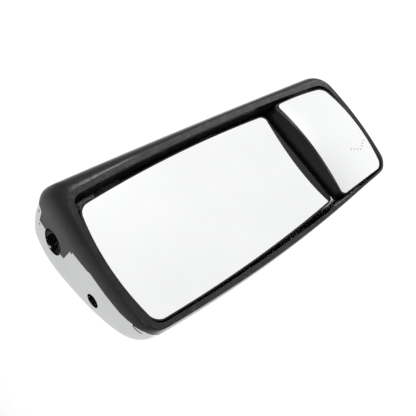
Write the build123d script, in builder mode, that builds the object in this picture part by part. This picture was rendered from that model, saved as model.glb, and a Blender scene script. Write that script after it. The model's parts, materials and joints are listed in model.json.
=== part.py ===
"""Heavy-duty truck and trailer towing mirror head, driver's side.

A black bezel frames one opening with a flat main glass above and a raised convex glass below.
A plated rear cover closes the back. Inside, a cast frame clamps on the vertical tube of the door arm.

Frame: origin on the arm tube's axis at the middle of the upper clamp, +Z up along the tube,
-Y is the way the glasses look, +X is inboard, towards the cab. Millimetres.

Most outlines are drawn in face coordinates: x inboard and z up from a point at the middle of the
opening, with depth counted backwards from the lip plane. face() and spot() place them in the frame.
"""
from build123d import *
import math
import os

os.makedirs("parts", exist_ok=True)

# ---- where the face sits in the frame ---------------------------------------------------------
FACE_X = -83.0
FACE_Y = -81.0
FACE_Z = -80.0

# ---- shell ------------------------------------------------------------------------------------
WALL = 3.0
RECESS_DEPTH = 29.0
RECESS_WALL_FRONT = 3.2
RECESS_WALL_BACK = 1.6
RECESS_DRAFT = 1.5
PARTING_GAP = 0.5

# corners run: outboard bottom, inboard bottom, inboard top, outboard top
SHELL_CORNERS = [(-73, -325), (119.5, -325), (146.5, 191.8), (-117, 190)]
SHELL_BOWS = (8.0, 2.4, 8.0, 14.0)
BOTTOM_TAPER = 0.72
OPENING_CORNERS = [(-75, -311), (92, -311), (105, 171.5), (-112, 171.5)]
OPENING_BOWS = (8.5, 11.0, 11.0, 9.4)
OPENING_RADII = (22.0, 22.0, 18.0, 18.0)
GROW_SIGNS = [(-1, -1), (1, -1), (1, 1), (-1, 1)]

# the lip's outer crease, where the front band turns into the flank
CREASE_CORNERS = [(-76, -314), (100.5, -316), (113.5, 180), (-120.5, 180)]
CREASE_BOWS = (9.0, 11.0, 11.0, 11.0)
CREASE_RADII = (26.0, 26.0, 27.0, 27.0)

# flank sections: depth, inboard shift, outboard shift, top shift, bottom shift, then the corner radii
FLANK_SECTIONS = [
    (8, -10.5, -2, -3.5, 3, 33, 33, 23, 28),
    (20, -4.5, -1, -1, 1, 37, 37, 19, 31),
]

# behind the widest outline each side closes in by (distance at the back, power of the way there)
WIDEST_DEPTH = 36.0
BACK_DEPTH = 145.0
REAR_SECTIONS = 8
INBOARD_CLOSE = (-30.0, 3.1)
OUTBOARD_CLOSE = (183.0, 2.3)
TOP_CLOSE = (-14.5, 12.0)
BOTTOM_CLOSE = (84.0, 3.5)
WIDEST_RADII = (40.0, 40.0, 16.0, 33.0)
RADII_CLOSE = (-27.0, -27.0, -3.0, -12.0)
RADII_POWER = 5.0

# parting line between bezel and cover: seen from the side as (depth, z), from above as (x, depth)
SIDE_PARTING = [(46, -380), (46, 155), (39, 157), (26, 168), (16, 184), (16, 250)]
TOP_PARTING = [
    (-106, 16),
    (-98, 17.4),
    (-90, 20.1),
    (-82, 22.6),
    (-65, 27.5),
    (-32, 29.8),
    (4, 29.9),
    (10, 33),
    (24, 36.3),
    (46, 41),
    (45.5, 47.5),
    (49.7, 44),
    (53.5, 77.5),
    (60, 79.5),
    (104, 80),
    (121.5, 83),
    (125, 62),
    (131, 58.5),
    (200, 56),
]
TOP_PARTING_BOTTOM = 150.0
TUBE_END_REACH = 120.0
SPACE_FRONT = -60.0
SPACE_BOTTOM = -450.0
SPACE_HEIGHT = 700.0

# slots beside the parting line: centre (x, depth), length, width, turn in degrees
COVER_SLOTS = [(-94.3, 22.4, 24.0, 2.4, -13.5), (134.0, 71.0, 13.0, 2.6, 24.0)]
DRAIN_HOLE = (119.0, 90.0)
DRAIN_HOLE_R = 1.6

# ---- arm tube, clamps and end holes -----------------------------------------------------------
TUBE_R = 19.05
TUBE_HOLE_R = 21.0
CLAMP_LENGTH = 32.0
CLAMP_SPACING = 190.0
CLAMP_HALF_WIDTH = 38.0
SADDLE_FRONT = -24.0
CLAMP_SPLIT = 0.5
CAP_EAR = 12.0
CAP_ROUND_R = 25.0
CLAMP_BOLT_X = 30.0
CLAMP_BOLT_R = 4.0
ACCESSORY_HOLE = (-21.5, 78.0)
ACCESSORY_HOLE_R = 11.8

# ---- main glass -------------------------------------------------------------------------------
MAIN_CORNERS = [(-75, -206), (94, -193), (93.5, 160), (-104, 160)]
MAIN_BOWS = (1.0, 8.0, 12.5, 7.1)
MAIN_RADII = (10.0, 10.0, 20.0, 20.0)
MAIN_FRONT = 22.0
GLASS_THICKNESS = 3.0
HEATER_THICKNESS = 0.6
HOLDER_RIM = 1.8
HOLDER_BACK = 28.8
MAIN_PIVOT = (0.0, 36.0, -15.0)
PLUNGER_ARM = 38.0

# ---- convex glass -----------------------------------------------------------------------------
CONVEX_CORNERS = [(-72, -309), (85, -306), (95, -214), (-81.5, -216)]
CONVEX_BOWS = (4.0, 1.5, 0.5, 0.2)
CONVEX_RADII = (14.0, 14.0, 8.0, 8.0)
SKIRT_CORNERS = [(-72, -310), (84, -307), (97, -200.5), (-84, -213)]
SKIRT_RADII = (18.0, 15.0, 9.0, 9.0)
SKIRT_DEPTH = 28.0
CONVEX_R = 300.0
CONVEX_CENTRE = (8.0, 288.0, -262.0)
CONVEX_GLASS = 2.6
CONVEX_PIVOT = (8.0, 20.0, -262.0)
CONVEX_RIM = 1.8
FLOOR_FRONT = 8.0
FLOOR_BACK = 11.0

# ---- turn-signal chevron ----------------------------------------------------------------------
CHEVRON_APEX = (-34.2, -286.8)
CHEVRON_UP = (2.3, 5.6)
CHEVRON_DOWN = (3.5, -5.0)
LED_R = 1.6

# ---- universal joints -------------------------------------------------------------------------
PIN_R = 2.5
PIN_PLAY = 0.05
PIN_REACH = 12.5
EAR_NEAR = 8.0
EAR_THICKNESS = 4.0
EAR_R = 5.0
HUB_R = 4.6

# ---- frame casting and drive ------------------------------------------------------------------
WEB_FRONT = 66.0
WEB_BACK = 70.0
BOSS_R = 4.0
LUG_R = 4.4
SCREW_R = 2.0
FRAME_POINTS = [(-40, 187.3), (40, 187.3), (-14, -319), (58, -320.5)]
LID_FRONT = 43.5
LID_BACK = 46.5
DRIVE_LOBE_R = 17.0
PLUNGER_R = 4.2
BALL_R = 4.0
MOTOR_R = 10.0
MOTOR_FRONT = 62.2
MOTOR_BACK = 88.0
DRIVE_POST_R = 6.5
LEADSCREW_R = 2.0
LEADSCREW_FRONT = 49.6
THREAD_PITCH = 1.5
THREAD_RIDGES = 4
NECK_R = 2.2
PLUNGER_FRONT = 42.0
PLUNGER_BACK = 56.0
PLUNGER_BORE_END = 44.2
SOCKET_R = 4.8
SOCKET_OUTER_R = 6.6
SOCKET_LIP = 2.0
RIB_DEPTH = 2.0
SCREW_PLAY = 0.3
SCREW_REACH = 14.0
SCREW_HEAD_R = 3.8
SCREW_HEAD_HEIGHT = 3.0
LID_SCREW_R = 2.4
BOSS_FRONT = 5.0
WEB_CENTRE_X = 7.0
WEB_CENTRE_Z = -52.0
WEB_WIDTH = 86.0
WEB_HEIGHT = 470.0
FOOT_CENTRE = (22.0, -302.0)
FOOT_SIZE = (50.0, 34.0)
WEB_FLANGE = 4.0
WEB_FLANGE_DEPTH = 7.0
WEB_WINDOWS = [(-2, 110), (-2, -110), (8, -200)]
WINDOW_LENGTH = 46.0
WINDOW_WIDTH = 34.0
CLAMP_LEVELS = (0.0, -CLAMP_SPACING)
CLAMP_THREAD = 19.0
CLAMP_BOLT_SPOTS = [(side * CLAMP_BOLT_X, level) for side in (-1, 1) for level in CLAMP_LEVELS]
CLAMP_HEAD_R = 7.0
CLAMP_HEAD_HEIGHT = 5.3
WASHER_R = 7.5
WASHER_THICKNESS = 1.6

# ---- small parts ------------------------------------------------------------------------------
CLIP_LENGTH = 12.0
CLIP_WIDTH = 14.0
CLIP_THICKNESS = 0.8
CLIP_TURN = math.pi - 0.052
CLIP_SPOTS = [(137.9, 46, 60), (132.2, 46, -60), (125.4, 46, -180)]
BOARD_CENTRE = (-28.5, -286.0)
BOARD_SIZE = (18.0, 38.0)
BOARD_THICKNESS = 1.6
BOARD_BACK = 0.0
LED_HEIGHT = 1.4
STANDOFFS = [(-24, -272), (-24, -300)]
BRACKET_FOOT = 44.0
BRACKET_FLANGE = 4.0
BRACKET_TOP = 31.0
HARNESS_R = 2.5
HARNESS_ROUTE = [(-24, 78, 150), (-24, 78, 100), (-22, 80, 72), (-20, 78, 44), (-20, 78, 16)]
HARNESS_CLIP_LEVELS = (136.0, 114.0)
CONNECTOR_SIZE = (16.0, 16.0)
CONNECTOR_HEIGHT = 20.0


def face(depth):
    """The plane parallel to the lip plane at a depth; +x inboard, +y up, normal to the front."""
    return Plane(origin=(FACE_X, FACE_Y + depth, FACE_Z), x_dir=(1, 0, 0), z_dir=(0, -1, 0))


def spot(x, depth, z):
    """A point given in face coordinates."""
    return Vector(FACE_X + x, FACE_Y + depth, FACE_Z + z)


def bowed_outline(depth, corners, bows, radii, grow=0.0):
    """A sketch with four outward-bowed sides and rounded corners."""
    points = [Vector(x + sx * grow, z + sz * grow) for (x, z), (sx, sz) in zip(corners, GROW_SIGNS)]
    with BuildSketch(face(depth)) as outline:
        with BuildLine():
            for start, end, bow in zip(points, points[1:] + points[:1], bows):
                side = end - start
                outward = Vector(side.Y, -side.X).normalized()
                ThreePointArc(start, (start + end) / 2 + outward * bow, end)
        make_face()
        for point, radius in zip(points, radii):
            fillet(outline.vertices().sort_by_distance(point)[0], radius + grow)
    return outline.sketch


def bowed_slab(front, back, corners, bows, radii, grow=0.0, mode=Mode.ADD):
    """The outline extruded backwards from one depth to another."""
    extrude(bowed_outline(front, corners, bows, radii, grow), amount=front - back, mode=mode)


def closing(amount_and_power, way):
    amount, power = amount_and_power
    return amount * way**power


def shell_sections(inset):
    """Outlines of the head behind the lip, moved inwards by inset."""
    rows = list(FLANK_SECTIONS)
    for i in range(REAR_SECTIONS):
        way = math.sin(math.pi / 2 * i / (REAR_SECTIONS - 1))
        shifts = [closing(side, way) for side in (INBOARD_CLOSE, OUTBOARD_CLOSE, TOP_CLOSE, BOTTOM_CLOSE)]
        radii = [
            radius + closing((change, RADII_POWER), way) for radius, change in zip(WIDEST_RADII, RADII_CLOSE)
        ]
        depth = WIDEST_DEPTH + way * (BACK_DEPTH - inset - WIDEST_DEPTH)
        rows.append((depth, *shifts, *radii))
    sections = []
    for depth, inboard, outboard, top, bottom, *radii in rows:
        shifts = [
            (outboard * BOTTOM_TAPER, bottom),
            (inboard * BOTTOM_TAPER, bottom),
            (inboard, top),
            (outboard, top),
        ]
        corners = [(x + dx, z + dz) for (x, z), (dx, dz) in zip(SHELL_CORNERS, shifts)]
        sections.append(bowed_outline(depth, corners, SHELL_BOWS, radii, -inset))
    return sections


def hollow_shell():
    """The whole head as one thin-walled shell, before it is parted into bezel and cover."""
    loft([bowed_outline(0, CREASE_CORNERS, CREASE_BOWS, CREASE_RADII)] + shell_sections(0))
    inner = shell_sections(WALL)
    loft(inner, mode=Mode.SUBTRACT)
    behind_lip = bowed_outline(WALL, CREASE_CORNERS, CREASE_BOWS, CREASE_RADII, -WALL)
    loft([behind_lip, inner[0]], ruled=True, mode=Mode.SUBTRACT)


def plan(x, depth):
    """A point in the horizontal plane given in face coordinates."""
    return (FACE_X + x, FACE_Y + depth)


def bezel_zone(gap):
    """Fill the space in front of the parting line, with the tongue that reaches the tube hole."""
    side_line = [(FACE_Y + depth, FACE_Z + z) for depth, z in SIDE_PARTING]
    with BuildSketch(Plane.YZ.offset(-SPACE_HEIGHT / 2)) as side:
        with BuildLine():
            front_low = (FACE_Y + SPACE_FRONT, side_line[0][1])
            front_high = (FACE_Y + SPACE_FRONT, side_line[-1][1])
            Polyline(front_low, *side_line, front_high, close=True)
        make_face()
        if gap:
            offset(amount=gap, kind=Kind.INTERSECTION)
    extrude(side.sketch, amount=SPACE_HEIGHT)
    top_line = [plan(x, depth) for x, depth in TOP_PARTING]
    with BuildSketch(Plane.XY.offset(FACE_Z + TOP_PARTING_BOTTOM - gap)) as top:
        with BuildLine():
            front_outboard = plan(TOP_PARTING[0][0], SPACE_FRONT)
            front_inboard = plan(TOP_PARTING[-1][0], SPACE_FRONT)
            Polyline(front_outboard, *top_line, front_inboard, close=True)
        make_face()
        if gap:
            offset(amount=gap, kind=Kind.INTERSECTION)
    extrude(top.sketch, amount=TUBE_END_REACH)


def upright(position, radius, bottom, height, mode=Mode.SUBTRACT):
    """A round bar or hole along Z, at a position in plan."""
    with BuildSketch(Plane.XY.offset(bottom)) as section:
        with Locations(position):
            Circle(radius)
    extrude(section.sketch, amount=height, mode=mode)


def motor_spots():
    """Where the two plungers push: above the pivot, and inboard of it."""
    x, _, z = MAIN_PIVOT
    return [(x, z + PLUNGER_ARM), (x + PLUNGER_ARM, z)]


def drive_lobes():
    """Centres of the actuator housing's three rounded corners."""
    return [MAIN_PIVOT[::2]] + motor_spots()


def lid_screw_spots():
    """Screws near the rim of the actuator lid."""
    x, _, z = MAIN_PIVOT
    return [(x - 9.5, z - 10), (x - 12, z + PLUNGER_ARM + 4), (x + PLUNGER_ARM + 4, z - 12)]


def bracket_screw_spots():
    """Four screws at the corners of the convex bracket's foot."""
    x, _, z = CONVEX_PIVOT
    return [(x + sx * 16, z + sy * 16) for sx in (-1, 1) for sy in (-1, 1)]


def chevron_spots():
    """Lamps of the arrow, from its outboard point along both arms."""
    x, z = CHEVRON_APEX
    arms = [(x + i * CHEVRON_UP[0], z + i * CHEVRON_UP[1]) for i in (3, 2, 1, 0)]
    return arms + [(x + i * CHEVRON_DOWN[0], z + i * CHEVRON_DOWN[1]) for i in (1, 2, 3)]


def ear(plane, thickness, length):
    """A rounded ear with a pin hole at the plane's origin, reaching along the plane's x."""
    with BuildSketch(plane) as profile:
        Circle(EAR_R)
        Rectangle(length, 2 * EAR_R, align=(Align.MIN, Align.CENTER))
        Circle(PIN_R + PIN_PLAY, mode=Mode.SUBTRACT)
    extrude(profile.sketch, amount=thickness)


def fixed_ears(pivot, length):
    """Two ears on the X pins, reaching backwards from the pivot."""
    for side in (-1, 1):
        origin = spot(*pivot) + Vector(side * EAR_NEAR, 0, 0)
        ear(Plane(origin=origin, x_dir=(0, 1, 0), z_dir=(side, 0, 0)), EAR_THICKNESS, length)


def moving_ears(pivot, length):
    """Two ears on the Z pins, reaching forwards from the pivot."""
    for side in (-1, 1):
        origin = spot(*pivot) + Vector(0, 0, side * EAR_NEAR)
        ear(Plane(origin=origin, x_dir=(0, -1, 0), z_dir=(0, 0, side)), EAR_THICKNESS, length)


def save(builder, label):
    builder.part.label = label
    export_step(builder.part, "parts/" + label + ".step")


# ---- rear cover -------------------------------------------------------------------------------
with BuildPart() as cover_front_cut:
    bezel_zone(PARTING_GAP)

with BuildPart() as rear_cover:
    hollow_shell()
    add(cover_front_cut.part, mode=Mode.SUBTRACT)
    upright((0, 0), TUBE_HOLE_R, SPACE_BOTTOM, SPACE_HEIGHT)
    upright(plan(*ACCESSORY_HOLE), ACCESSORY_HOLE_R, FACE_Z + TOP_PARTING_BOTTOM, TUBE_END_REACH)
    upright(plan(*DRAIN_HOLE), DRAIN_HOLE_R, FACE_Z + TOP_PARTING_BOTTOM, TUBE_END_REACH)
    with BuildSketch(Plane.XY.offset(FACE_Z + TOP_PARTING_BOTTOM)):
        for x, depth, length, width, turn in COVER_SLOTS:
            with Locations(plan(x, depth)):
                Rectangle(length, width, rotation=turn)
    extrude(amount=TUBE_END_REACH, mode=Mode.SUBTRACT)
save(rear_cover, "rear_cover")

# ---- front bezel ------------------------------------------------------------------------------
with BuildPart() as front_zone:
    bezel_zone(0)


def opening_outline(depth, wall):
    """The opening's outline at a depth, grown by a wall thickness."""
    draft = RECESS_DRAFT * depth / RECESS_DEPTH
    return bowed_outline(depth, OPENING_CORNERS, OPENING_BOWS, OPENING_RADII, wall - draft)


with BuildPart() as front_bezel:
    hollow_shell()
    add(front_zone.part, mode=Mode.INTERSECT)
    loft([opening_outline(0.5, RECESS_WALL_FRONT), opening_outline(RECESS_DEPTH, RECESS_WALL_BACK)], ruled=True)
    with BuildSketch(face(BOSS_FRONT)):
        with Locations(*FRAME_POINTS):
            Circle(BOSS_R)
    extrude(amount=BOSS_FRONT - WEB_FRONT)
    loft([opening_outline(-1, 0), opening_outline(RECESS_DEPTH + 2, 0)], ruled=True, mode=Mode.SUBTRACT)
    with BuildSketch(face(WEB_FRONT)):
        with Locations(*FRAME_POINTS):
            Circle(SCREW_R + PIN_PLAY)
    extrude(amount=SCREW_REACH + 2, mode=Mode.SUBTRACT)
    upright((0, 0), TUBE_HOLE_R, SPACE_BOTTOM, SPACE_HEIGHT)
save(front_bezel, "front_bezel")

# ---- mounting frame, with one clamp saddle at each end of the tube's grip ------------------------
with BuildPart() as mounting_frame:
    with BuildSketch(face(WEB_FRONT)):
        with Locations(*FRAME_POINTS):
            Circle(LUG_R)
        for (left, z), (right, _) in (FRAME_POINTS[:2], FRAME_POINTS[2:]):
            with Locations(((left + right) / 2, z)):
                Rectangle(right - left, 2 * LUG_R)
        with Locations((WEB_CENTRE_X, WEB_CENTRE_Z)):
            Rectangle(WEB_WIDTH, WEB_HEIGHT)
        with Locations(FOOT_CENTRE):
            Rectangle(*FOOT_SIZE)
        with Locations(*WEB_WINDOWS):
            SlotCenterToCenter(WINDOW_LENGTH, WINDOW_WIDTH, rotation=90, mode=Mode.SUBTRACT)
        with Locations(*FRAME_POINTS):
            Circle(SCREW_R + SCREW_PLAY, mode=Mode.SUBTRACT)
    extrude(amount=WEB_FRONT - WEB_BACK)
    with BuildSketch(face(WEB_BACK)):
        for side in (-1, 1):
            with Locations((WEB_CENTRE_X + side * (WEB_WIDTH - WEB_FLANGE) / 2, WEB_CENTRE_Z)):
                Rectangle(WEB_FLANGE, WEB_HEIGHT)
    extrude(amount=-WEB_FLANGE_DEPTH)
    with BuildSketch(face(WEB_FRONT)):
        with Locations(*motor_spots()):
            Circle(MOTOR_R + 0.6)
    extrude(amount=-2 * WEB_FLANGE_DEPTH, mode=Mode.SUBTRACT)
    for level in CLAMP_LEVELS:
        with BuildSketch(Plane.XY.offset(level)):
            with Locations((0, (SADDLE_FRONT - CLAMP_SPLIT) / 2)):
                RectangleRounded(2 * CLAMP_HALF_WIDTH, -CLAMP_SPLIT - SADDLE_FRONT, 4)
        extrude(amount=CLAMP_LENGTH / 2, both=True)
        upright((0, 0), TUBE_R, level - CLAMP_LENGTH, 2 * CLAMP_LENGTH)
        with BuildSketch(Plane.XZ.offset(CLAMP_SPLIT)):
            with Locations((-CLAMP_BOLT_X, level), (CLAMP_BOLT_X, level)):
                Circle(CLAMP_BOLT_R + PIN_PLAY)
        extrude(amount=CLAMP_THREAD, mode=Mode.SUBTRACT)
save(mounting_frame, "mounting_frame")

# ---- clamp caps, bolts and washers --------------------------------------------------------------
for name, level in zip(("upper_clamp_cap", "lower_clamp_cap"), CLAMP_LEVELS):
    with BuildPart() as clamp_cap:
        with BuildSketch(Plane.XY.offset(level)):
            with Locations((0, CLAMP_SPLIT)):
                Rectangle(2 * CLAMP_HALF_WIDTH, CAP_EAR, align=(Align.CENTER, Align.MIN))
            Circle(CAP_ROUND_R)
            with Locations((0, CLAMP_SPLIT)):
                Rectangle(
                    3 * CLAMP_HALF_WIDTH, 3 * CLAMP_HALF_WIDTH, align=(Align.CENTER, Align.MAX), mode=Mode.SUBTRACT
                )
        extrude(amount=CLAMP_LENGTH / 2, both=True)
        upright((0, 0), TUBE_R, level - CLAMP_LENGTH, 2 * CLAMP_LENGTH)
        with BuildSketch(Plane.XZ.offset(-CLAMP_SPLIT - CAP_EAR)):
            with Locations((-CLAMP_BOLT_X, level), (CLAMP_BOLT_X, level)):
                Circle(CLAMP_BOLT_R + SCREW_PLAY)
        extrude(amount=CAP_EAR + 1, mode=Mode.SUBTRACT)
        fillet(clamp_cap.edges().filter_by(Axis.X).group_by(Axis.Y)[-1], 1.5)
    save(clamp_cap, name)

with BuildPart() as clamp_washers:
    with BuildSketch(Plane.XZ.offset(-CLAMP_SPLIT - CAP_EAR)):
        with Locations(*CLAMP_BOLT_SPOTS):
            Circle(WASHER_R)
            Circle(CLAMP_BOLT_R + SCREW_PLAY, mode=Mode.SUBTRACT)
    extrude(amount=-WASHER_THICKNESS)
save(clamp_washers, "clamp_washers")

with BuildPart() as clamp_bolts:
    with BuildSketch(Plane.XZ.offset(-CLAMP_SPLIT - CAP_EAR - WASHER_THICKNESS)):
        with Locations(*CLAMP_BOLT_SPOTS):
            RegularPolygon(CLAMP_HEAD_R, 6)
    extrude(amount=-CLAMP_HEAD_HEIGHT)
    with BuildSketch(Plane.XZ.offset(-CLAMP_SPLIT - CAP_EAR - WASHER_THICKNESS)):
        with Locations(*CLAMP_BOLT_SPOTS):
            Circle(CLAMP_BOLT_R)
    extrude(amount=CAP_EAR + WASHER_THICKNESS + CLAMP_THREAD - 1)
save(clamp_bolts, "clamp_bolts")

# ---- screws that hold the bezel's bosses to the frame ---------------------------------------------
with BuildPart() as frame_screws:
    with BuildSketch(face(WEB_BACK)):
        with Locations(*FRAME_POINTS):
            Circle(SCREW_HEAD_R)
    extrude(amount=-SCREW_HEAD_HEIGHT)
    with BuildSketch(face(WEB_BACK)):
        with Locations(*FRAME_POINTS):
            Circle(SCREW_R)
    extrude(amount=WEB_BACK - WEB_FRONT + SCREW_REACH)
    with BuildSketch(face(WEB_BACK + SCREW_HEAD_HEIGHT)):
        with Locations(*FRAME_POINTS):
            RegularPolygon(1.4, 6)
    extrude(amount=1.6, mode=Mode.SUBTRACT)
save(frame_screws, "frame_screws")

# ---- spring clips that hold the cover's edge to the bezel's edge ------------------------------------
with BuildPart() as cover_clips:
    for place in CLIP_SPOTS:
        inward = (math.cos(CLIP_TURN), 0, math.sin(CLIP_TURN))
        clip_plane = Plane(origin=spot(*place), x_dir=(0, 1, 0), z_dir=inward)
        with BuildSketch(clip_plane):
            RectangleRounded(CLIP_LENGTH, CLIP_WIDTH, 2)
            Circle(1.5, mode=Mode.SUBTRACT)
        extrude(amount=CLIP_THICKNESS)
save(cover_clips, "cover_clips")

# ---- actuator base: sealed housing for two gearmotors -----------------------------------------------
with BuildPart() as actuator_base:
    with BuildSketch(face(LID_BACK)) as lobes:
        with Locations(*drive_lobes()):
            Circle(DRIVE_LOBE_R)
        make_hull()
    extrude(amount=LID_BACK - WEB_FRONT)
    with BuildSketch(face(LID_BACK)):
        with Locations(*drive_lobes()):
            Circle(DRIVE_LOBE_R - 2.5)
        make_hull()
        with Locations(*motor_spots()):
            Circle(DRIVE_POST_R, mode=Mode.SUBTRACT)
        with Locations(MAIN_PIVOT[::2]):
            Circle(DRIVE_POST_R, mode=Mode.SUBTRACT)
    extrude(amount=LID_BACK - MOTOR_FRONT + 1, mode=Mode.SUBTRACT)
    with BuildSketch(face(LID_BACK)):
        with Locations(*motor_spots()):
            Circle(PLUNGER_R + PIN_PLAY)
    extrude(amount=LID_BACK - WEB_FRONT, mode=Mode.SUBTRACT)
    with BuildSketch(face(MOTOR_FRONT)):
        with Locations(*motor_spots()):
            Circle(MOTOR_R + 0.2)
    extrude(amount=MOTOR_FRONT - WEB_FRONT, mode=Mode.SUBTRACT)
save(actuator_base, "actuator_base")

# ---- actuator lid, with the universal joint's fixed ears ----------------------------------------------
with BuildPart() as actuator_lid:
    with BuildSketch(face(LID_FRONT)):
        with Locations(*drive_lobes()):
            Circle(DRIVE_LOBE_R)
        make_hull()
        with Locations(*motor_spots()):
            Circle(PLUNGER_R + 0.6, mode=Mode.SUBTRACT)
    extrude(amount=LID_FRONT - LID_BACK)
    fixed_ears(MAIN_PIVOT, LID_FRONT - MAIN_PIVOT[1] + 1)
save(actuator_lid, "actuator_lid")

with BuildPart() as actuator_screws:
    with BuildSketch(face(LID_FRONT)):
        with Locations(*lid_screw_spots()):
            Circle(LID_SCREW_R)
    extrude(amount=1.8)
save(actuator_screws, "actuator_screws")

# ---- gearmotors, leadscrews and plungers -----------------------------------------------------------
for name, (x, z) in zip(("vertical", "horizontal"), motor_spots()):
    with BuildPart() as gearmotor:
        with BuildSketch(face(MOTOR_FRONT)):
            with Locations((x, z)):
                Circle(MOTOR_R)
        extrude(amount=MOTOR_FRONT - MOTOR_BACK)
        with BuildSketch(face(MOTOR_BACK)):
            with Locations((x, z)):
                Circle(3)
            with Locations((x - 5, z), (x + 5, z)):
                Rectangle(1, 3)
        extrude(amount=-2.5)
        with BuildSketch(face(MOTOR_FRONT)):
            with Locations((x, z)):
                Circle(LEADSCREW_R + PIN_PLAY)
        extrude(amount=-6, mode=Mode.SUBTRACT)
    save(gearmotor, name + "_gearmotor")

    with BuildPart() as leadscrew:
        with BuildSketch(face(LEADSCREW_FRONT)):
            with Locations((x, z)):
                Circle(LEADSCREW_R)
        extrude(amount=LEADSCREW_FRONT - MOTOR_FRONT - 5)
        for turn in range(THREAD_RIDGES):
            with BuildSketch(face(LEADSCREW_FRONT + 0.5 + turn * THREAD_PITCH)):
                with Locations((x, z)):
                    Circle(LEADSCREW_R + 0.2)
            extrude(amount=-THREAD_PITCH / 2)
    save(leadscrew, name + "_leadscrew")

    with BuildPart() as plunger:
        with Locations(spot(x, MAIN_PIVOT[1], z)):
            Sphere(BALL_R)
        steps = ((NECK_R, MAIN_PIVOT[1], PLUNGER_FRONT + 1), (PLUNGER_R, PLUNGER_FRONT, PLUNGER_BACK))
        for radius, front, back in steps:
            with BuildSketch(face(front)):
                with Locations((x, z)):
                    Circle(radius)
            extrude(amount=front - back)
        with BuildSketch(face(PLUNGER_BACK)):
            with Locations((x, z)):
                Circle(LEADSCREW_R + 0.45)
        extrude(amount=PLUNGER_BACK - PLUNGER_BORE_END, mode=Mode.SUBTRACT)
    save(plunger, name + "_plunger")

# ---- universal-joint crosses -------------------------------------------------------------------------
for name, pivot in (("main_cross", MAIN_PIVOT), ("convex_cross", CONVEX_PIVOT)):
    with BuildPart() as cross:
        for axis in ((1, 0, 0), (0, 0, 1)):
            with BuildSketch(Plane(origin=spot(*pivot), z_dir=axis)):
                Circle(PIN_R)
            extrude(amount=PIN_REACH, both=True)
        with Locations(spot(*pivot)):
            Sphere(HUB_R)
    save(cross, name)

# ---- main glass, heater and holder ---------------------------------------------------------------------
MAIN = (MAIN_CORNERS, MAIN_BOWS, MAIN_RADII)
HEATER_FRONT = MAIN_FRONT + GLASS_THICKNESS + 0.1
HOLDER_FLOOR = HEATER_FRONT + HEATER_THICKNESS + 0.1

with BuildPart() as main_glass:
    bowed_slab(MAIN_FRONT, MAIN_FRONT + GLASS_THICKNESS, *MAIN)
    chamfer(main_glass.faces().sort_by(Axis.Y)[0].edges(), 0.5)
save(main_glass, "main_glass")

with BuildPart() as main_heater:
    bowed_slab(HEATER_FRONT, HEATER_FRONT + HEATER_THICKNESS, *MAIN, grow=-4)
save(main_heater, "main_heater")

with BuildPart() as main_holder:
    bowed_slab(MAIN_FRONT - 0.4, HOLDER_BACK, *MAIN, grow=HOLDER_RIM)
    bowed_slab(MAIN_FRONT - 0.4, HOLDER_FLOOR, *MAIN, grow=0.2, mode=Mode.SUBTRACT)
    with BuildSketch(face(HOLDER_BACK)):
        with Locations(*((x, MAIN_PIVOT[2]) for x in (-70, 70))):
            Rectangle(2, 280)
        with Locations(*((0, MAIN_PIVOT[2] + z) for z in (-140, -75, 75, 140))):
            Rectangle(142, 2)
    extrude(amount=-RIB_DEPTH)
    with BuildSketch(face(HOLDER_BACK)):
        with Locations(*motor_spots()):
            Circle(SOCKET_OUTER_R)
    extrude(amount=HOLDER_BACK - MAIN_PIVOT[1] - SOCKET_LIP)
    with BuildSketch(face(HOLDER_BACK)):
        with Locations(*motor_spots()):
            Circle(SOCKET_R)
    extrude(amount=HOLDER_BACK - MAIN_PIVOT[1] - SOCKET_LIP, mode=Mode.SUBTRACT)
    moving_ears(MAIN_PIVOT, MAIN_PIVOT[1] - HOLDER_BACK + 0.5)
save(main_holder, "main_holder")

# ---- convex glass assembly --------------------------------------------------------------------------------
CONVEX = (CONVEX_CORNERS, CONVEX_BOWS, CONVEX_RADII)
SKIRT = (SKIRT_CORNERS, CONVEX_BOWS, SKIRT_RADII)
DOME_FRONT = -18.0

with BuildPart() as convex_glass:
    bowed_slab(DOME_FRONT, SKIRT_DEPTH, *CONVEX)
    with Locations(spot(*CONVEX_CENTRE)):
        Sphere(CONVEX_R, mode=Mode.INTERSECT)
    with Locations(spot(*CONVEX_CENTRE)):
        Sphere(CONVEX_R - CONVEX_GLASS, mode=Mode.SUBTRACT)
save(convex_glass, "convex_glass")

with BuildPart() as convex_heater:
    bowed_slab(DOME_FRONT, SKIRT_DEPTH, *CONVEX, grow=-5)
    with Locations(spot(*CONVEX_CENTRE)):
        Sphere(CONVEX_R - CONVEX_GLASS - 0.2, mode=Mode.INTERSECT)
    with Locations(spot(*CONVEX_CENTRE)):
        Sphere(CONVEX_R - CONVEX_GLASS - 0.2 - HEATER_THICKNESS, mode=Mode.SUBTRACT)
    with BuildSketch(face(DOME_FRONT)):
        with Locations(BOARD_CENTRE):
            Rectangle(*BOARD_SIZE)
    extrude(amount=DOME_FRONT - SKIRT_DEPTH, mode=Mode.SUBTRACT)
save(convex_heater, "convex_heater")

with BuildPart() as glass_seat:
    bowed_slab(DOME_FRONT - 1, SKIRT_DEPTH, *CONVEX, grow=0.2)
    with Locations(spot(*CONVEX_CENTRE)):
        Sphere(CONVEX_R - CONVEX_GLASS - 0.1, mode=Mode.SUBTRACT)

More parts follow.
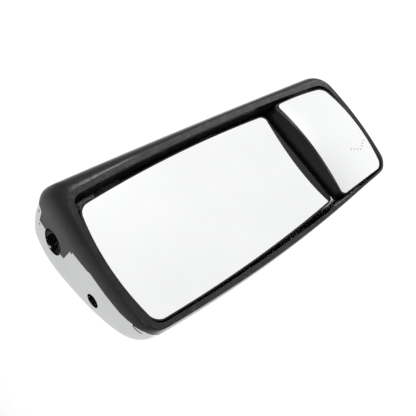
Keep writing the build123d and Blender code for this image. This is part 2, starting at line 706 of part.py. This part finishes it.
with BuildPart() as convex_holder:
    loft([bowed_outline(DOME_FRONT, *CONVEX, grow=CONVEX_RIM), bowed_outline(SKIRT_DEPTH, *SKIRT)], ruled=True)
    with Locations(spot(*CONVEX_CENTRE)):
        Sphere(CONVEX_R + 0.8, mode=Mode.INTERSECT)
    add(glass_seat.part, mode=Mode.SUBTRACT)
    bowed_slab(DOME_FRONT, FLOOR_FRONT, *CONVEX, grow=-4, mode=Mode.SUBTRACT)
    bowed_slab(FLOOR_BACK, SKIRT_DEPTH, *CONVEX, grow=-1.5, mode=Mode.SUBTRACT)
    with BuildSketch(face(FLOOR_FRONT)):
        with Locations(*STANDOFFS):
            Circle(2.5)
    extrude(amount=FLOOR_FRONT - BOARD_BACK)
    moving_ears(CONVEX_PIVOT, CONVEX_PIVOT[1] - FLOOR_BACK + 0.5)
save(convex_holder, "convex_holder")

with BuildPart() as signal_board:
    with BuildSketch(face(BOARD_BACK)):
        with Locations(BOARD_CENTRE):
            RectangleRounded(*BOARD_SIZE, 2)
    extrude(amount=BOARD_THICKNESS)
save(signal_board, "signal_board")

with BuildPart() as signal_leds:
    with BuildSketch(face(BOARD_BACK - BOARD_THICKNESS)):
        with Locations(*chevron_spots()):
            Circle(LED_R)
    extrude(amount=LED_HEIGHT)
save(signal_leds, "signal_leds")

# ---- bracket that carries the convex glass ------------------------------------------------------------------
with BuildPart() as convex_bracket:
    with BuildSketch(face(WEB_FRONT)):
        with Locations(CONVEX_PIVOT[::2]):
            RectangleRounded(BRACKET_FOOT, BRACKET_FOOT, 4)
        with Locations(*bracket_screw_spots()):
            Circle(SCREW_R + SCREW_PLAY, mode=Mode.SUBTRACT)
    extrude(amount=BRACKET_FLANGE)
    with BuildSketch(face(WEB_FRONT)):
        with Locations(CONVEX_PIVOT[::2]):
            RectangleRounded(2 * (EAR_NEAR + EAR_THICKNESS), 20, 2)
            RectangleRounded(2 * (EAR_NEAR + EAR_THICKNESS) - 6, 14, 2, mode=Mode.SUBTRACT)
    extrude(amount=WEB_FRONT - BRACKET_TOP)
    with BuildSketch(face(BRACKET_TOP)):
        with Locations(CONVEX_PIVOT[::2]):
            RectangleRounded(2 * (EAR_NEAR + EAR_THICKNESS), 20, 2)
    extrude(amount=-3)
    fixed_ears(CONVEX_PIVOT, BRACKET_TOP - CONVEX_PIVOT[1] + 1)
save(convex_bracket, "convex_bracket")

with BuildPart() as bracket_screws:
    with BuildSketch(face(WEB_FRONT - BRACKET_FLANGE)):
        with Locations(*bracket_screw_spots()):
            Circle(SCREW_HEAD_R)
    extrude(amount=SCREW_HEAD_HEIGHT)
    with BuildSketch(face(WEB_FRONT - BRACKET_FLANGE)):
        with Locations(*bracket_screw_spots()):
            Circle(SCREW_R)
    extrude(amount=-BRACKET_FLANGE)
save(bracket_screws, "bracket_screws")

# ---- wiring: connector near the tube hole, harness down the frame, terminals at the actuator --------------
def bend_radii(points):
    """The largest tangent arcs that the runs either side of each corner allow."""
    radii = []
    for before, corner, after in zip(points, points[1:], points[2:]):
        shorter = min((corner - before).length, (after - corner).length)
        turn = math.radians((corner - before).get_angle(after - corner))
        radii.append(0.45 * shorter / math.tan(turn / 2))
    return radii


harness_points = [spot(*point) for point in HARNESS_ROUTE]
harness_bends = bend_radii(harness_points)
with BuildPart() as harness:
    with BuildLine() as route:
        FilletPolyline(*harness_points, radius=harness_bends)
    with BuildSketch(Plane(origin=harness_points[0], z_dir=harness_points[1] - harness_points[0])):
        Circle(HARNESS_R)
    sweep()
save(harness, "harness")
harness_length = sum(edge.length for edge in route.line.edges())
print("harness bends", [round(radius) for radius in harness_bends], "length", round(harness_length, 1))
print("harness volume over section times length", harness.part.volume / (harness_length * math.pi * HARNESS_R**2))

for name, point, above in (("main_connector", HARNESS_ROUTE[0], 1), ("terminal_block", HARNESS_ROUTE[-1], -1)):
    with BuildPart() as connector:
        with BuildSketch(Plane.XY.offset(FACE_Z + point[2])):
            with Locations(plan(point[0], point[1])):
                RectangleRounded(*CONNECTOR_SIZE, 1.5)
        extrude(amount=above * CONNECTOR_HEIGHT)
    save(connector, name)

with BuildPart() as harness_clips:
    for z in HARNESS_CLIP_LEVELS:
        with BuildSketch(Plane.XY.offset(FACE_Z + z)):
            with Locations(plan(HARNESS_ROUTE[0][0], HARNESS_ROUTE[0][1])):
                Circle(HARNESS_R + 1.6)
                with Locations((0, -(HARNESS_ROUTE[0][1] - WEB_BACK) / 2)):
                    Rectangle(4, HARNESS_ROUTE[0][1] - WEB_BACK)
                Circle(HARNESS_R + 0.1, mode=Mode.SUBTRACT)
        extrude(amount=6)
save(harness_clips, "harness_clips")
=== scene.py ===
"""Looks of the towing mirror head: finishes, lamp windows, floor, light and camera. Lengths are in metres."""
import bpy
import bmesh
import json
import math
from mathutils import Matrix, Vector

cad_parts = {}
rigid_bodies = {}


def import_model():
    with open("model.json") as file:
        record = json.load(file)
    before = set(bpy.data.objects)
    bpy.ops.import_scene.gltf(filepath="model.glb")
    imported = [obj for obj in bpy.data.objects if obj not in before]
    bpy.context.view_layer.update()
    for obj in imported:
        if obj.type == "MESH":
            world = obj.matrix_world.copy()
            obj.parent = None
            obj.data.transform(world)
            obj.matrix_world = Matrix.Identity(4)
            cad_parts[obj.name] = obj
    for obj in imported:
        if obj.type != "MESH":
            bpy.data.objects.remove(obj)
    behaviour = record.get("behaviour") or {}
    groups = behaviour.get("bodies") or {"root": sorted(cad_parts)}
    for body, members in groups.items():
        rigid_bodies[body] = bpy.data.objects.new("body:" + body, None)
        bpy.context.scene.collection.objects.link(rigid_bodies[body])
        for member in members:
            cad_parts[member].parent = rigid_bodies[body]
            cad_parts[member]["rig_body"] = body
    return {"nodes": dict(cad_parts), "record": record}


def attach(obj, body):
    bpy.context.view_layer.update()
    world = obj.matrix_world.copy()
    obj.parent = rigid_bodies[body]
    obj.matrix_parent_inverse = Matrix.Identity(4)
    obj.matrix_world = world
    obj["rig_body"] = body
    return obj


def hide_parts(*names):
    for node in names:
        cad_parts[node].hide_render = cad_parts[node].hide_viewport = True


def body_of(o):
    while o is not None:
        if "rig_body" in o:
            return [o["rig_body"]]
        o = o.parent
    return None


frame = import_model()
nodes = frame["nodes"]
SLOT_OF = {row["node"]: row["material_slot"] for row in frame["record"]["subparts"]}
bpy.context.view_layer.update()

# ---- the convex glass: its dome is placed from LIP_ORIGIN, x inboard, y to the rear, z up ---------------
LIP_ORIGIN = Vector((-0.083, -0.081, -0.080))
DOME_CENTRE = Vector((0.008, 0.288, -0.262))
DOME_R = 0.300

# ---- chevron of lamp windows, as x and z on the convex glass --------------------------------------------
CHEVRON_TIP = Vector((-0.0342, -0.2868))
UPPER_STEP = Vector((0.0023, 0.0056))
LOWER_STEP = Vector((0.0035, -0.0050))
LAMPS_PER_ARM = 3
WINDOW_R = 0.00125
WINDOW_TOP_R = 0.0011
WINDOW_THICKNESS = 0.00006
WINDOW_CHAMFER = 0.00001
WINDOW_SIDES = 32

# ---- smooth shading: crease angle in degrees and weld distance, by node ---------------------------------
SMOOTHED = {
    "front_bezel": (12, 0.000001),
    "rear_cover": (30, 0.0001),
    "convex_holder": (24, 0.00001),
    "main_holder": (24, 0.00001),
    "convex_glass": (24, 0.00001),
}

# ---- noise scales, in cycles per metre, and bump heights ------------------------------------------------
SHEET_SCALE = 3.0
FILM_SCALE = 9.0
HAZE_SCALE = 11.0
STAIN_SCALE = 17.0
PATCH_SCALE = 28.0
SMEAR_SCALE = 30.0
FIBRE_SCALE = 40.0
RIPPLE_SCALE = 45.0
BRUSH_SCALE = 60.0
SCUFF_SCALE = 140.0
CAST_SCALE = 320.0
PAPER_SCALE = 400.0
FROST_SCALE = 600.0
PIT_SCALE = 900.0
ETCH_SCALE = 2500.0
GRAIN_SCALE = 2600.0
FINE_HEIGHT = 0.00005
GRAIN_HEIGHT = 0.0001
COARSE_HEIGHT = 0.0002

# ---- stage and camera -----------------------------------------------------------------------------------
FLOOR_SIZE = 40
FLOOR_Z = -1.6
DAYLIGHT = 0.82
CAMERA_LENS = 95.19
CAMERA_SENSOR = 36
CAMERA_PLACE = Vector((-0.4001, -1.4182, 0.7296))
CAMERA_RIGHT = Vector((-0.5622, -0.3267, -0.7598))
CAMERA_UP = Vector((0.8028, -0.4364, -0.4063))
CAMERA_BACK = Vector((-0.1988, -0.8384, 0.5076))


# ---- finishes -------------------------------------------------------------------------------------------
class Finish:
    """Builds one procedural material node by node."""

    def __init__(self, name):
        self.material = bpy.data.materials.new(name)
        self.material.use_nodes = True
        self.tree = self.material.node_tree
        self.shader = self.tree.nodes["Principled BSDF"]
        self.place = self.tree.nodes.new("ShaderNodeTexCoord").outputs["Object"]

    def feed(self, socket, value):
        """Links a socket to another node, or sets it when the value is a number or a colour."""
        if isinstance(value, bpy.types.NodeSocket):
            self.tree.links.new(value, socket)
        elif isinstance(value, tuple):
            socket.default_value = (*value, 1)
        else:
            socket.default_value = value

    def noise(self, scale, detail=3.0, roughness=0.55, stretch=None):
        """Noise over the piece, from about 0.3 to 0.7, optionally stretched along the axes."""
        node = self.tree.nodes.new("ShaderNodeTexNoise")
        node.inputs["Scale"].default_value = scale
        node.inputs["Detail"].default_value = detail
        node.inputs["Roughness"].default_value = roughness
        place = self.place
        if stretch:
            mapping = self.tree.nodes.new("ShaderNodeMapping")
            mapping.inputs["Scale"].default_value = stretch
            self.feed(mapping.inputs["Vector"], place)
            place = mapping.outputs["Vector"]
        self.feed(node.inputs["Vector"], place)
        return node.outputs["Fac"]

    def spread(self, value, low=0.0, high=1.0, at=(0.3, 0.7)):
        """Maps the noise range given by at onto low to high."""
        node = self.tree.nodes.new("ShaderNodeMapRange")
        node.inputs["From Min"].default_value = at[0]
        node.inputs["From Max"].default_value = at[1]
        node.inputs["To Min"].default_value = low
        node.inputs["To Max"].default_value = high
        self.feed(node.inputs["Value"], value)
        return node.outputs["Result"]

    def mix(self, factor, first, second):
        """Blends two colours, or the outputs of two nodes, by factor."""
        node = self.tree.nodes.new("ShaderNodeMix")
        node.data_type = "RGBA"
        self.feed(node.inputs["Factor"], factor)
        self.feed(node.inputs["A"], first)
        self.feed(node.inputs["B"], second)
        return node.outputs["Result"]

    def bump(self, height, strength, distance):
        """Raises the surface by a texture, distance being its full height in metres."""
        node = self.tree.nodes.new("ShaderNodeBump")
        node.inputs["Strength"].default_value = strength
        node.inputs["Distance"].default_value = distance
        self.feed(node.inputs["Height"], height)
        self.feed(self.shader.inputs["Normal"], node.outputs["Normal"])

    def set(self, **values):
        """Feeds shader inputs by name, with an underscore for each space."""
        for name, value in values.items():
            self.feed(self.shader.inputs[name.replace("_", " ")], value)


def plastic(name, dark, light, worn, rough, bump=0.12, specular=0.5):
    """Moulded plastic: slow patches of shade, scuffs that show paler and rougher, and a fine grain."""
    look = Finish(name)
    patches = look.noise(PATCH_SCALE, detail=5.0)
    scuffs = look.noise(SCUFF_SCALE, detail=6.0, roughness=0.7)
    clean = look.mix(look.spread(patches), dark, light)
    scuffed = look.mix(look.spread(scuffs, high=0.7, at=(0.58, 0.75)), clean, worn)
    look.set(Base_Color=scuffed, Roughness=look.spread(scuffs, rough - 0.05, rough + 0.08))
    look.set(Specular_IOR_Level=specular)
    look.bump(look.noise(GRAIN_SCALE, detail=2.0), bump, GRAIN_HEIGHT)
    return look.material


def metal(name, dark, light, rough, stretch=None, bump=0.08, scale=BRUSH_SCALE):
    """Bare or plated metal: stains in the colour, and a brushed or cast texture in the gloss and relief."""
    look = Finish(name)
    texture = look.noise(scale, detail=6.0, stretch=stretch)
    stains = look.noise(STAIN_SCALE, detail=4.0)
    look.set(Base_Color=look.mix(look.spread(stains), dark, light), Metallic=1.0)
    look.set(Roughness=look.spread(texture, *rough))
    look.bump(texture, bump, GRAIN_HEIGHT)
    return look.material


def chrome(name):
    """Bright plating with a light haze, a few dull pits and a slight ripple."""
    look = Finish(name)
    haze = look.noise(HAZE_SCALE, detail=5.0)
    pits = look.noise(PIT_SCALE, detail=3.0, roughness=0.7)
    bright = look.mix(look.spread(haze), (0.66, 0.67, 0.68), (0.72, 0.725, 0.73))
    pitted = look.mix(look.spread(pits, at=(0.70, 0.78)), bright, (0.42, 0.42, 0.42))
    look.set(Base_Color=pitted, Metallic=1.0, Roughness=look.spread(haze, 0.10, 0.17))
    look.bump(look.noise(RIPPLE_SCALE, detail=2.0), 0.02, COARSE_HEIGHT)
    return look.material


def mirror(name):
    """Silvered glass with a thin film of dust and faint wiping smears."""
    look = Finish(name)
    film = look.noise(FILM_SCALE, detail=5.0)
    smears = look.noise(SMEAR_SCALE, detail=4.0, stretch=(3.0, 1.0, 0.6))
    silver = look.mix(look.spread(film), (0.85, 0.855, 0.86), (0.89, 0.895, 0.90))
    look.set(Base_Color=silver, Metallic=1.0, Roughness=look.spread(smears, 0.015, 0.05))
    look.bump(film, 0.001, GRAIN_HEIGHT)
    return look.material


def etched_window(name):
    """The half-silvered spot in front of each signal lamp."""
    look = Finish(name)
    frost = look.mix(look.spread(look.noise(FROST_SCALE)), (0.36, 0.35, 0.34), (0.46, 0.45, 0.44))
    look.set(Base_Color=frost, Metallic=0.7, Roughness=look.spread(look.noise(PIT_SCALE), 0.25, 0.4))
    look.bump(look.noise(ETCH_SCALE), 0.1, FINE_HEIGHT)
    return look.material


def pale_paper(name):
    """The plain pale ground that the head lies over."""
    look = Finish(name)
    paper = look.mix(look.noise(SHEET_SCALE), (0.93, 0.93, 0.93), (0.95, 0.95, 0.95))
    look.set(Base_Color=paper, Roughness=look.spread(look.noise(FIBRE_SCALE), 0.85, 0.95))
    look.bump(look.noise(PAPER_SCALE), 0.05, COARSE_HEIGHT)
    return look.material


def grey(value):
    return (value, value, value)


FINISHES = {
    "bezel_plastic": plastic(
        "bezel_black", grey(0.004), grey(0.007), grey(0.02), 0.20, bump=0.03, specular=0.22
    ),
    "chrome_cover": chrome("plated_cover"),
    # cast aluminium grey darkened well below bare aluminium: painted shade for the frame seen deep inside the
    # tube hole
    "cast_frame": metal(
        "cast_aluminium", (0.22, 0.22, 0.23), (0.36, 0.37, 0.38), (0.48, 0.66), bump=0.35, scale=CAST_SCALE
    ),
    "zinc_steel": metal("zinc_plate", (0.42, 0.42, 0.41), (0.62, 0.62, 0.60), (0.28, 0.42)),
    "spring_steel": metal("blued_spring", (0.12, 0.13, 0.15), (0.26, 0.27, 0.30), (0.30, 0.42)),
    "actuator_plastic": plastic(
        "filled_black", (0.02, 0.02, 0.021), (0.035, 0.035, 0.037), grey(0.09), 0.52
    ),
    "motor_can": metal(
        "drawn_can", (0.36, 0.37, 0.38), (0.55, 0.56, 0.57), (0.24, 0.38), stretch=(1.0, 12.0, 1.0)
    ),
    "acetal": plastic(
        "white_acetal", (0.66, 0.66, 0.63), (0.76, 0.76, 0.73), (0.5, 0.5, 0.47), 0.33, bump=0.05
    ),
    "mirror_glass": mirror("silvered_glass"),
    "heater_film": plastic(
        "heating_film", (0.30, 0.15, 0.05), (0.42, 0.22, 0.08), (0.2, 0.1, 0.04), 0.42
    ),
    "holder_plastic": plastic(
        "holder_black", grey(0.003), grey(0.006), grey(0.02), 0.34, bump=0.03, specular=0.15
    ),
    "circuit_board": plastic(
        "green_board", (0.02, 0.10, 0.04), (0.04, 0.16, 0.07), (0.2, 0.17, 0.08), 0.36, bump=0.05
    ),
    "amber_led": plastic(
        "amber_lamp", (0.60, 0.28, 0.04), (0.72, 0.36, 0.07), (0.4, 0.2, 0.05), 0.22, bump=0.03
    ),
    "harness_jacket": plastic("taped_harness", grey(0.012), grey(0.02), grey(0.06), 0.6),
    "connector_plastic": plastic(
        "grey_connector", (0.05, 0.05, 0.055), (0.08, 0.08, 0.085), grey(0.14), 0.5
    ),
}

for name, node in nodes.items():
    node.data.materials.clear()
    node.data.materials.append(FINISHES[SLOT_OF[name]])
    for face in node.data.polygons:
        face.material_index = 0


# ---- copies of the moulded pieces that shade smoothly ---------------------------------------------------
def smooth_copy(node, crease, weld):
    """Shows the same shape with its corners welded, so that curved faces shade smoothly."""
    source = nodes[node]
    mesh = source.data.copy()
    work = bmesh.new()
    work.from_mesh(mesh)
    bmesh.ops.remove_doubles(work, verts=work.verts, dist=weld)
    work.to_mesh(mesh)
    work.free()
    for face in mesh.polygons:
        face.use_smooth = True
    mesh.set_sharp_from_angle(angle=math.radians(crease))
    piece = bpy.data.objects.new(node + "_finished", mesh)
    bpy.context.scene.collection.objects.link(piece)
    even = piece.modifiers.new("even_normals", "WEIGHTED_NORMAL")
    even.keep_sharp = True
    even.weight = 100
    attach(piece, body_of(source)[0])
    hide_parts(node)
    return piece


smoothed = {node: smooth_copy(node, crease, weld) for node, (crease, weld) in SMOOTHED.items()}


# ---- chevron of lamp windows, flush on the convex glass -------------------------------------------------
def lamp_window(index, spot, material):
    """A thin chamfered disc on the dome, square to its surface, at x and z given by spot."""
    across = spot.x - DOME_CENTRE.x
    above = spot.y - DOME_CENTRE.z
    depth = DOME_CENTRE.y - math.sqrt(DOME_R**2 - across**2 - above**2)
    centre = LIP_ORIGIN + Vector((spot.x, depth, spot.y))
    outward = (centre - LIP_ORIGIN - DOME_CENTRE).normalized()
    name = "lamp_window_%d" % index
    mesh = bpy.data.meshes.new(name)
    work = bmesh.new()
    bmesh.ops.create_cone(
        work,
        cap_ends=True,
        segments=WINDOW_SIDES,
        radius1=WINDOW_R,
        radius2=WINDOW_TOP_R,
        depth=WINDOW_THICKNESS,
    )
    bmesh.ops.bevel(work, geom=work.edges[:], offset=WINDOW_CHAMFER, segments=1, affect="EDGES")
    turned = outward.to_track_quat("Z", "Y").to_matrix().to_4x4()
    work.transform(Matrix.Translation(centre + outward * WINDOW_THICKNESS / 2) @ turned)
    work.to_mesh(mesh)
    work.free()
    mesh.materials.append(material)
    piece = bpy.data.objects.new(name, mesh)
    bpy.context.scene.collection.objects.link(piece)
    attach(piece, "convex_carrier")


window_finish = etched_window("etched_window")
spots = [CHEVRON_TIP + UPPER_STEP * step for step in range(LAMPS_PER_ARM + 1)]
spots += [CHEVRON_TIP + LOWER_STEP * step for step in range(1, LAMPS_PER_ARM + 1)]
for index, spot in enumerate(spots):
    lamp_window(index, spot, window_finish)

# ---- floor ----------------------------------------------------------------------------------------------
bpy.ops.mesh.primitive_plane_add(size=FLOOR_SIZE, location=(0, 0, FLOOR_Z))
floor = bpy.context.object
floor.name = "pale_floor"
floor.data.materials.append(pale_paper("pale_paper"))

# ---- light: even daylight, three soft boxes, and two strips that draw the glints along the rims ---------
world = bpy.data.worlds.new("studio")
bpy.context.scene.world = world
world.use_nodes = True
backdrop = world.node_tree.nodes["Background"]
backdrop.inputs["Color"].default_value = (1, 1, 1, 1)
backdrop.inputs["Strength"].default_value = DAYLIGHT


def soft_box(name, place, aim, size, power):
    """A rectangular lamp at place that faces aim, with its power in watts."""
    light = bpy.data.lights.new(name, "AREA")
    light.shape = "RECTANGLE"
    light.size, light.size_y = size
    light.energy = power
    lamp = bpy.data.objects.new(name, light)
    lamp.location = place
    lamp.rotation_euler = (Vector(aim) - Vector(place)).to_track_quat("-Z", "Y").to_euler()
    bpy.context.scene.collection.objects.link(lamp)
    return lamp


soft_box("key", place=(-0.6, -1.2, 2.4), aim=(-0.08, 0, -0.15), size=(1.6, 1.6), power=14)
soft_box("floor_fill", place=(1.8, -3.5, 0.4), aim=(1.8, -3.5, FLOOR_Z), size=(1.2, 1.2), power=15)
backdrop_fill = soft_box(
    "backdrop_fill", place=(0.5, 2.6, 1.2), aim=(0.5, 2.6, FLOOR_Z), size=(8.0, 8.0), power=100
)
backdrop_fill.visible_glossy = False

strips = [
    soft_box(
        "inboard_strip", place=(0.46, -0.90, -0.90), aim=(0.0, -0.08, -0.24), size=(0.18, 1.0), power=11
    ),
    soft_box(
        "outboard_strip", place=(-0.24, -0.95, -0.80), aim=(-0.19, -0.08, -0.25), size=(0.11, 0.9), power=7
    ),
]
rims = bpy.data.collections.new("rim_glints")
for node in ("front_bezel", "main_holder", "convex_holder"):
    rims.objects.link(smoothed[node])
for strip in strips:
    strip.light_linking.receiver_collection = rims

# ---- camera ---------------------------------------------------------------------------------------------
camera_data = bpy.data.cameras.new("camera")
camera_data.lens = CAMERA_LENS
camera_data.sensor_width = CAMERA_SENSOR
camera = bpy.data.objects.new("camera", camera_data)
bpy.context.scene.collection.objects.link(camera)
turned = Matrix((CAMERA_RIGHT, CAMERA_UP, CAMERA_BACK)).transposed().to_4x4()
camera.matrix_world = Matrix.Translation(CAMERA_PLACE) @ turned
bpy.context.scene.camera = camera
bpy.context.scene.view_settings.view_transform = "Standard"
